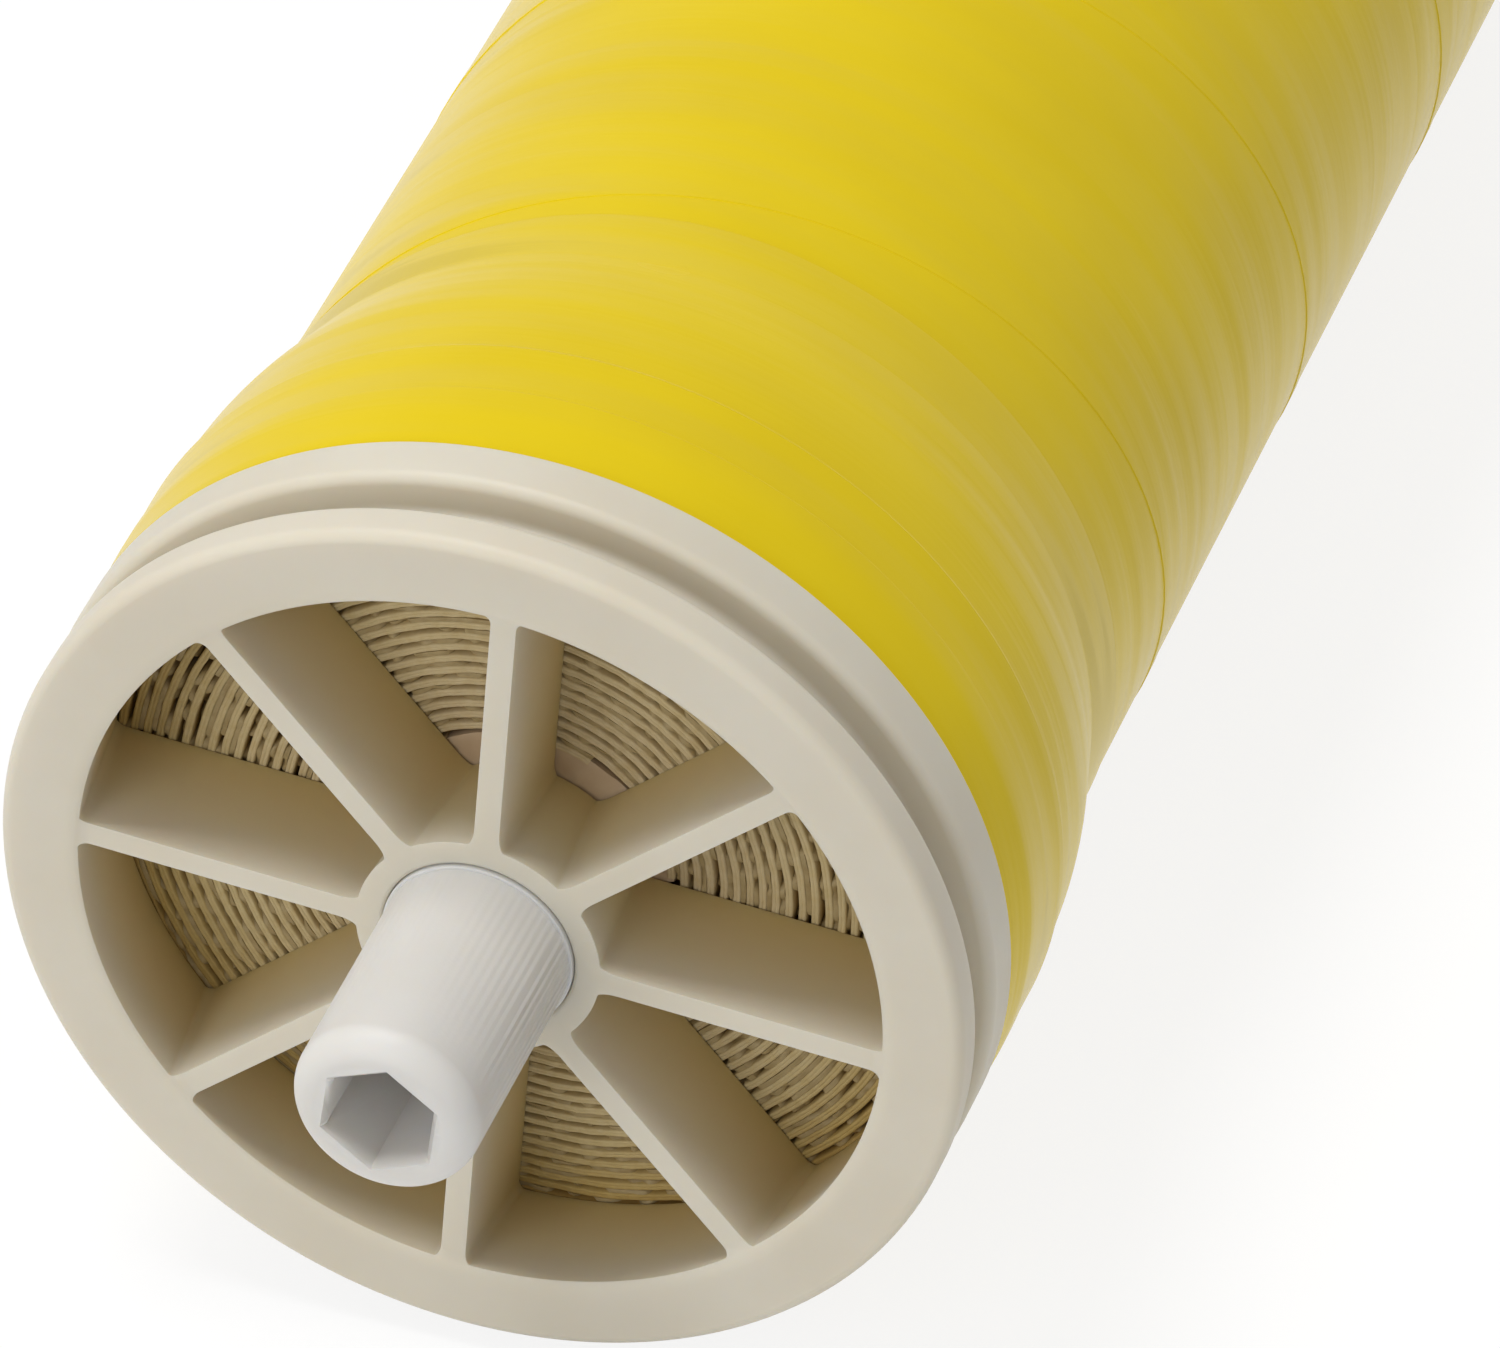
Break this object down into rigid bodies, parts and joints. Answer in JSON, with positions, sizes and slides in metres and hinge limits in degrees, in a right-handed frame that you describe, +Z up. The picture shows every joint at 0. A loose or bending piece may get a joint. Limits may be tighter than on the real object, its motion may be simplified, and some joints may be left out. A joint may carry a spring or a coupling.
{
  "type": "spiral wound reverse osmosis membrane element",
  "caption": "Cylindrical spiral-wound water filter element: yellow tape over a wound roll, spoked flanged end caps with a seal groove, and a central tube that stands out at both ends.",
  "frame": {"origin": "on the tube's axis at mid-length, the middle of the bounding box", "axes": "+Y along the tube from the bare-grooved front cap towards the rear cap that carries the brine seal, +Z up, +X to the right of someone facing the front cap"},
  "size_m": [0.1026, 1.016, 0.1026],
  "materials": {
    "tube_plastic": "satin grey-white moulded plastic",
    "cap_plastic": "cream injection-moulded plastic with a soft sheen",
    "yellow_tape": "glossy yellow vinyl tape wound in overlapping turns",
    "membrane": "cut edges of cream membrane and permeate carrier",
    "spacer_mesh": "cut edge of a thin mesh, dark between its strands",
    "core_laminate": "tan glue-soaked fabric",
    "seal_rubber": "black moulded rubber"
  },
  "bodies": {
    "root": {"permeate_tube": "tube_plastic", "core_wrap": "core_laminate", "body_wrap": "yellow_tape", "front_cap": "cap_plastic", "rear_cap": "cap_plastic", "front_collar_tape": "yellow_tape", "rear_collar_tape": "yellow_tape", "brine_seal": "seal_rubber", "membrane_leaf_1": "membrane", "membrane_leaf_2": "membrane", "membrane_leaf_3": "membrane", "membrane_leaf_4": "membrane", "membrane_leaf_5": "membrane", "membrane_leaf_6": "membrane", "feed_spacer_1": "spacer_mesh", "feed_spacer_2": "spacer_mesh", "feed_spacer_3": "spacer_mesh", "feed_spacer_4": "spacer_mesh", "feed_spacer_5": "spacer_mesh", "feed_spacer_6": "spacer_mesh"}
  },
  "joints": []
}
